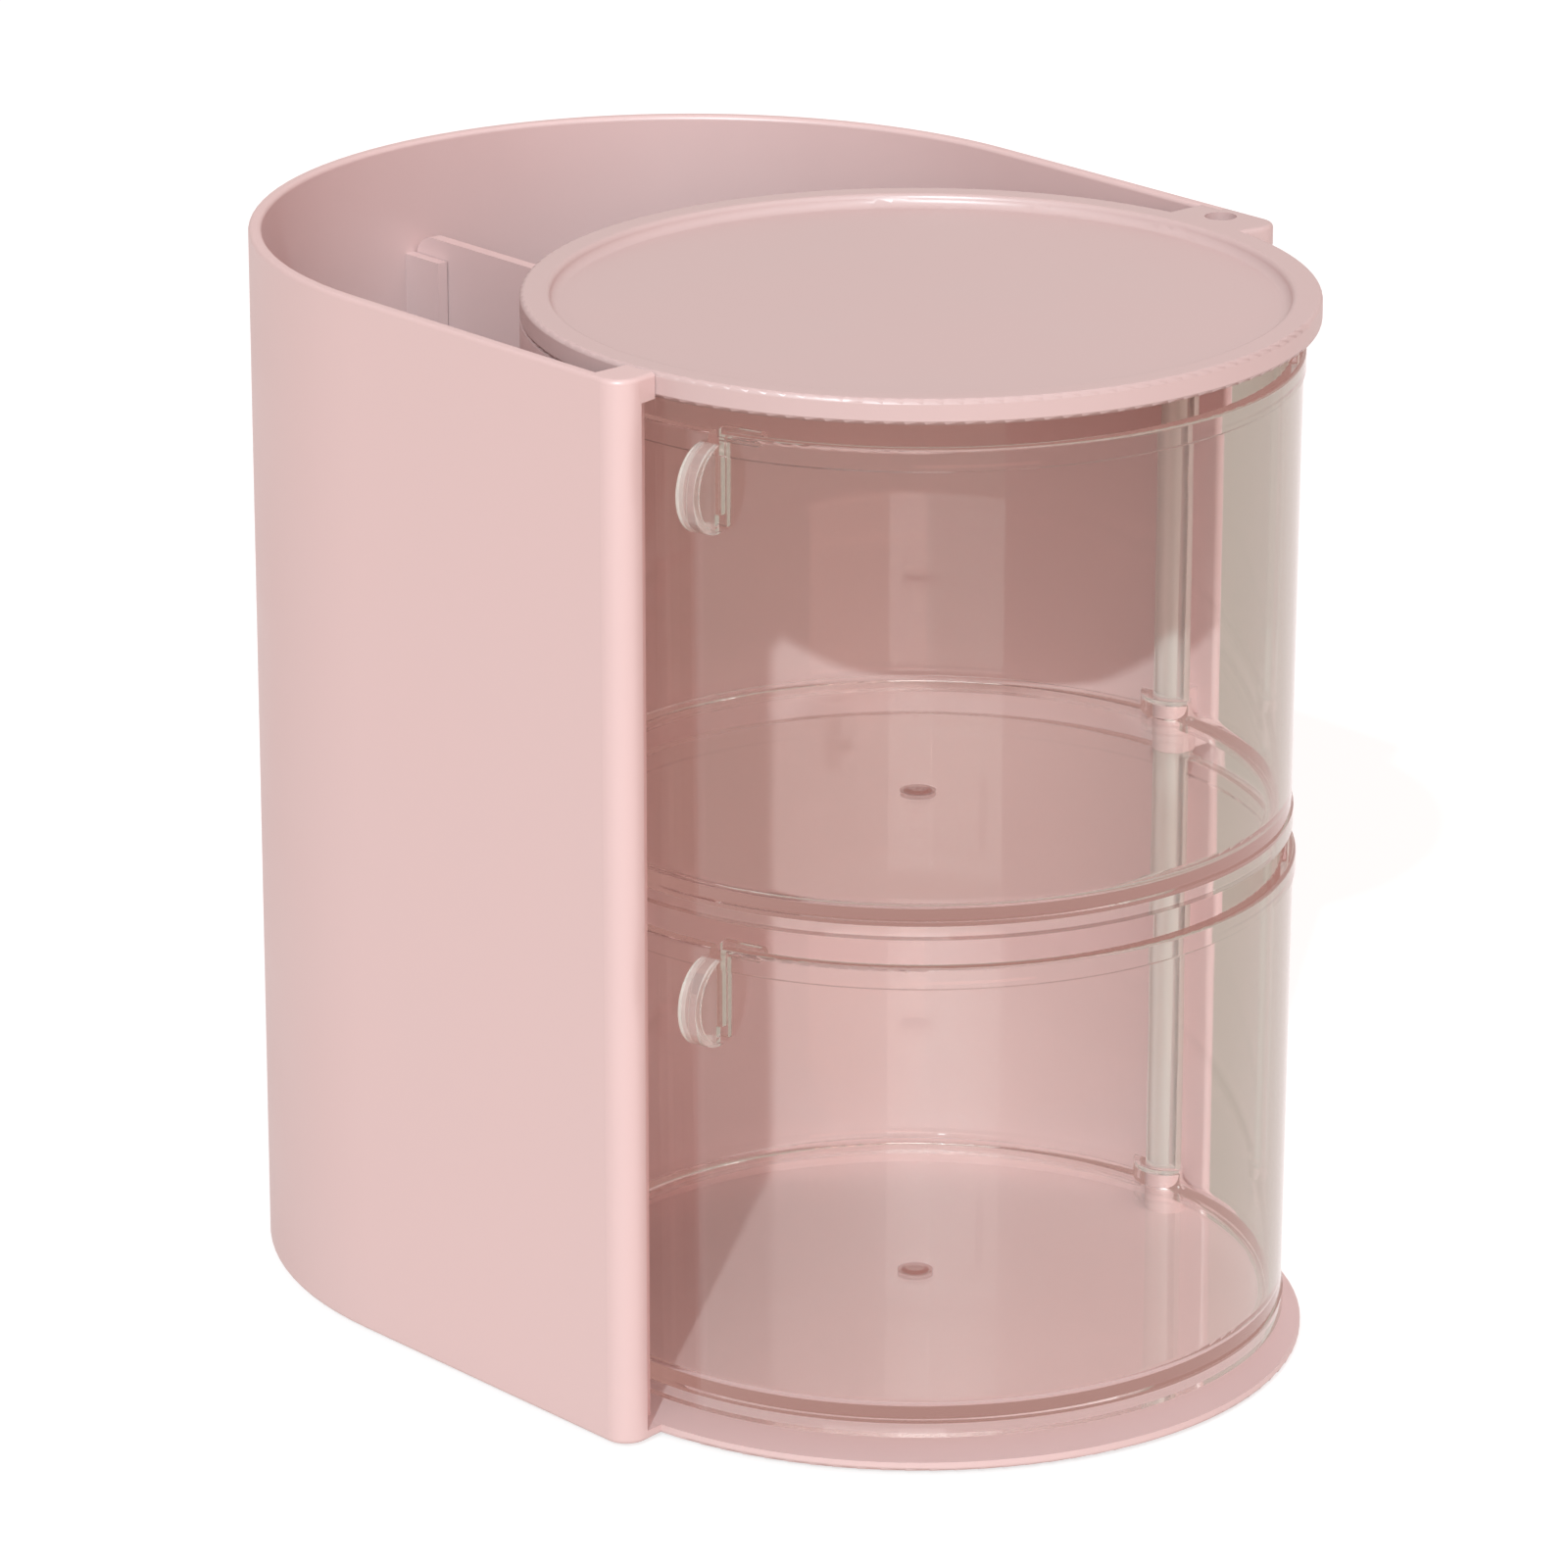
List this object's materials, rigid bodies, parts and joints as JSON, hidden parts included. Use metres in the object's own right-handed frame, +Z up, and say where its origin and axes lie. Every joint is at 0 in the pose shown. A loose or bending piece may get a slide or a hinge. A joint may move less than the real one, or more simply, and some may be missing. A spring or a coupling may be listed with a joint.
{
  "type": "powder puff storage box",
  "caption": "Desktop cosmetics organiser: open rear compartment with a lift-out divider, and two round clear drawers that swing out on a side hinge under a shallow tray.",
  "frame": {"origin": "middle of the plan outline, on the surface that the feet stand on", "axes": "+Z up; -Y the front with the round drawers; +Y the open rear compartment; +X the hinge side"},
  "size_m": [0.1304, 0.175, 0.1615],
  "materials": {
    "housing_plastic": "fine satin, blush pink",
    "tray_plastic": "fine satin, blush pink",
    "bracket_plastic": "fine satin, blush pink",
    "divider_plastic": "fine satin, blush pink",
    "rod_steel": "drawn wire",
    "drawer_clear": "clear moulded plastic, glossy",
    "handle_clear": "clear moulded plastic, glossy",
    "foot_rubber": "pale soft pad"
  },
  "bodies": {
    "case": {"housing": "housing_plastic", "top_tray": "tray_plastic", "hinge_bracket": "bracket_plastic", "hinge_rod": "rod_steel", "front_left_foot": "foot_rubber", "front_right_foot": "foot_rubber", "back_left_foot": "foot_rubber", "back_right_foot": "foot_rubber"},
    "upper_drawer_unit": {"upper_drawer": "drawer_clear", "upper_handle": "handle_clear"},
    "lower_drawer_unit": {"lower_drawer": "drawer_clear", "lower_handle": "handle_clear"},
    "divider_unit": {"divider": "divider_plastic"}
  },
  "joints": [
    {"name": "upper_drawer_swing", "type": "hinge", "parent": "case", "child": "upper_drawer_unit", "pos_m": [0.05527, -0.02776, 0.12], "axis": [0, 0, 1], "range_deg": [0, 60]},
    {"name": "lower_drawer_swing", "type": "hinge", "parent": "case", "child": "lower_drawer_unit", "pos_m": [0.05527, -0.02776, 0.044], "axis": [0, 0, 1], "range_deg": [0, 60]},
    {"name": "divider_lift", "type": "slide", "parent": "case", "child": "divider_unit", "axis": [0, 0, 1], "range_m": [0, 0.145]}
  ]
}
